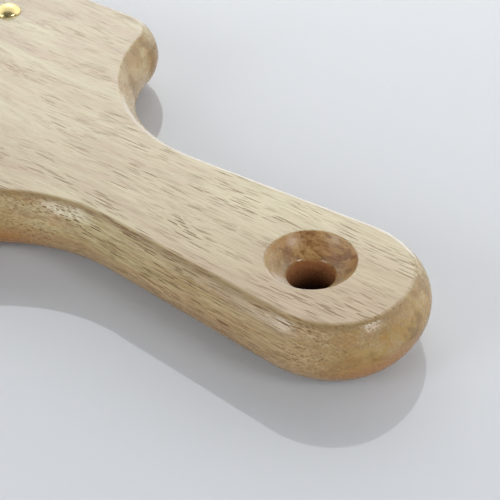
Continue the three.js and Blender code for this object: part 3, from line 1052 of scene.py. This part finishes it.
class CARDER_OT_stage(CarderStep, bpy.types.Operator):
    """Set up the glossy table, the lamps, the room's light and the camera"""

    bl_idname = "carder.stage"
    bl_label = "Table, lamps and camera"

    def execute(self, context):
        stage = context.scene.carder_stage
        self.camera(context, stage)
        table = self.table(stage)
        self.room(context, stage)
        self.soft_lamp(WINDOW_LAMP.name, WINDOW_LAMP, stage.window_light)
        for lamp in SIDE_LAMPS:
            self.side_lamp(table, lamp, stage.side_light)
        context.scene.view_settings.view_transform = "Standard"
        return {"FINISHED"}

    def camera(self, context, stage):
        hole = hole_x(context.scene.carder_board)
        back = direction(stage.look_from, stage.look_down)
        right = Vector((-math.sin(stage.look_from), math.cos(stage.look_from), 0))
        axes = Matrix((right, back.cross(right), back)).transposed() @ Matrix.Rotation(stage.look_roll, 3, "Z")
        place = Vector((hole, 0, 0)) + Vector(stage.camera_place)
        bpy.ops.object.camera_add(location=place, rotation=axes.to_euler())
        camera = context.object
        camera.name = "studio_camera"
        camera.data.sensor_width = 36.0
        camera.data.lens = stage.lens
        camera.data.clip_start = 0.01
        context.scene.camera = camera

    def table(self, stage):
        deselect_all()
        bpy.ops.mesh.primitive_plane_add(size=stage.table_size)
        table = added("table_top")
        edit(table)
        bpy.ops.mesh.subdivide(number_cuts=3)
        close_edit()
        table.data.materials.append(table_finish())
        return table

    def room(self, context, stage):
        """Light from pale walls under a dim ceiling. Reflections show a pale room that is dark behind the camera.

        Generated coordinates of a world are the parts of the direction in which it is seen.
        """
        world = bpy.data.worlds.new("studio_room")
        world.use_nodes = True
        context.scene.world = world
        room = NodeSketch(world.node_tree)
        side_x, side_y, side_z = room.parts(room.node("ShaderNodeTexCoord", output="Generated"))
        towards_camera, towards_back = (
            side_x * wall.x + side_y * wall.y
            for wall in (direction(stage.look_from, 0), direction(stage.back_from, 0))
        )
        wall_edge, wall_middle = 0.1, 0.8
        front = towards_camera.from_to(wall_edge, wall_middle, stage.room_light, stage.room_light + stage.front_light)
        back = towards_back.from_to(wall_edge, wall_middle, 0, stage.back_light)
        dim_ceiling, less_pale = 0.08, 0.68
        walls = (front + back) * side_z.from_to(0.25, 0.9, 1, dim_ceiling)
        pale = side_z.from_to(0.64, 0.94, stage.pale_room, less_pale * stage.pale_room)
        reflected = towards_camera.from_to(-0.03, 0.28, pale, stage.dark_room)
        seen = room.node("ShaderNodeLightPath", output="Is Camera Ray")
        glossy = room.node("ShaderNodeLightPath", output="Is Glossy Ray")
        strength = walls * (1 - glossy - seen) + reflected * glossy + seen * stage.backdrop
        background = room.node(
            "ShaderNodeBackground", None, {"Color": (1, 1, 1, 1), "Strength": strength}
        )
        room.node("ShaderNodeOutputWorld", None, {"Surface": background}, None)

    def soft_lamp(self, name, lamp, brightness):
        """Rectangular lamp that faces the carder."""
        towards = direction(math.radians(lamp.azimuth), math.radians(lamp.height))
        aim = towards.to_track_quat("Z", "Y").to_euler()
        bpy.ops.object.light_add(type="AREA", location=towards * lamp.distance, rotation=aim)
        made = bpy.context.object
        made.name = name
        width, tall = (
            2 * lamp.distance * math.tan(math.radians(half)) for half in (lamp.half_width, lamp.half_height)
        )
        made.data.shape = "RECTANGLE"
        made.data.size = width
        made.data.size_y = tall
        made.data.color = lamp.tint
        made.data.energy = WATTS_OF_WHITE * lamp.share * brightness * width * tall
        made.visible_camera = False
        return made

    def side_lamp(self, table, lamp, brightness):
        """Two lamps in one place: one for the carder, and one for the table that leaves no image in its gloss."""
        for part, table_state in (("", "EXCLUDE"), ("_on_table", "INCLUDE")):
            made = self.soft_lamp(lamp.name + part, lamp, brightness)
            reach = bpy.data.collections.new(made.name + "_reach")
            reach.objects.link(table)
            reach.collection_objects[0].light_linking.link_state = table_state
            made.light_linking.receiver_collection = reach
            made.visible_glossy = table_state == "EXCLUDE"


class CARDER_PT_panel(bpy.types.Panel):
    """Build steps of the carder, in order"""

    bl_idname = "CARDER_PT_panel"
    bl_label = "Hand carder"
    bl_space_type = "VIEW_3D"
    bl_region_type = "UI"
    bl_category = "Carder"

    def draw(self, context):
        for step in STEPS:
            self.layout.operator(step.bl_idname)


GROUPS = {
    "carder_board": CarderBoardSizes,
    "carder_clothing": CarderClothingSizes,
    "carder_nails": CarderNailSizes,
    "carder_finishes": CarderFinishes,
    "carder_stage": CarderStage,
}
STEPS = (CARDER_OT_stage, CARDER_OT_board, CARDER_OT_clothing, CARDER_OT_wires, CARDER_OT_nails)
CLASSES = (*GROUPS.values(), *STEPS, CARDER_PT_panel)


def register():
    for each in CLASSES:
        bpy.utils.register_class(each)
    for name, group in GROUPS.items():
        setattr(bpy.types.Scene, name, bpy.props.PointerProperty(type=group))


def unregister():
    for name in GROUPS:
        delattr(bpy.types.Scene, name)
    for each in reversed(CLASSES):
        bpy.utils.unregister_class(each)


def main():
    register()
    bpy.ops.carder.stage()
    bpy.ops.carder.board()
    bpy.ops.carder.clothing()
    bpy.ops.carder.wires()
    bpy.ops.carder.nails()


if __name__ == "__main__":
    main()
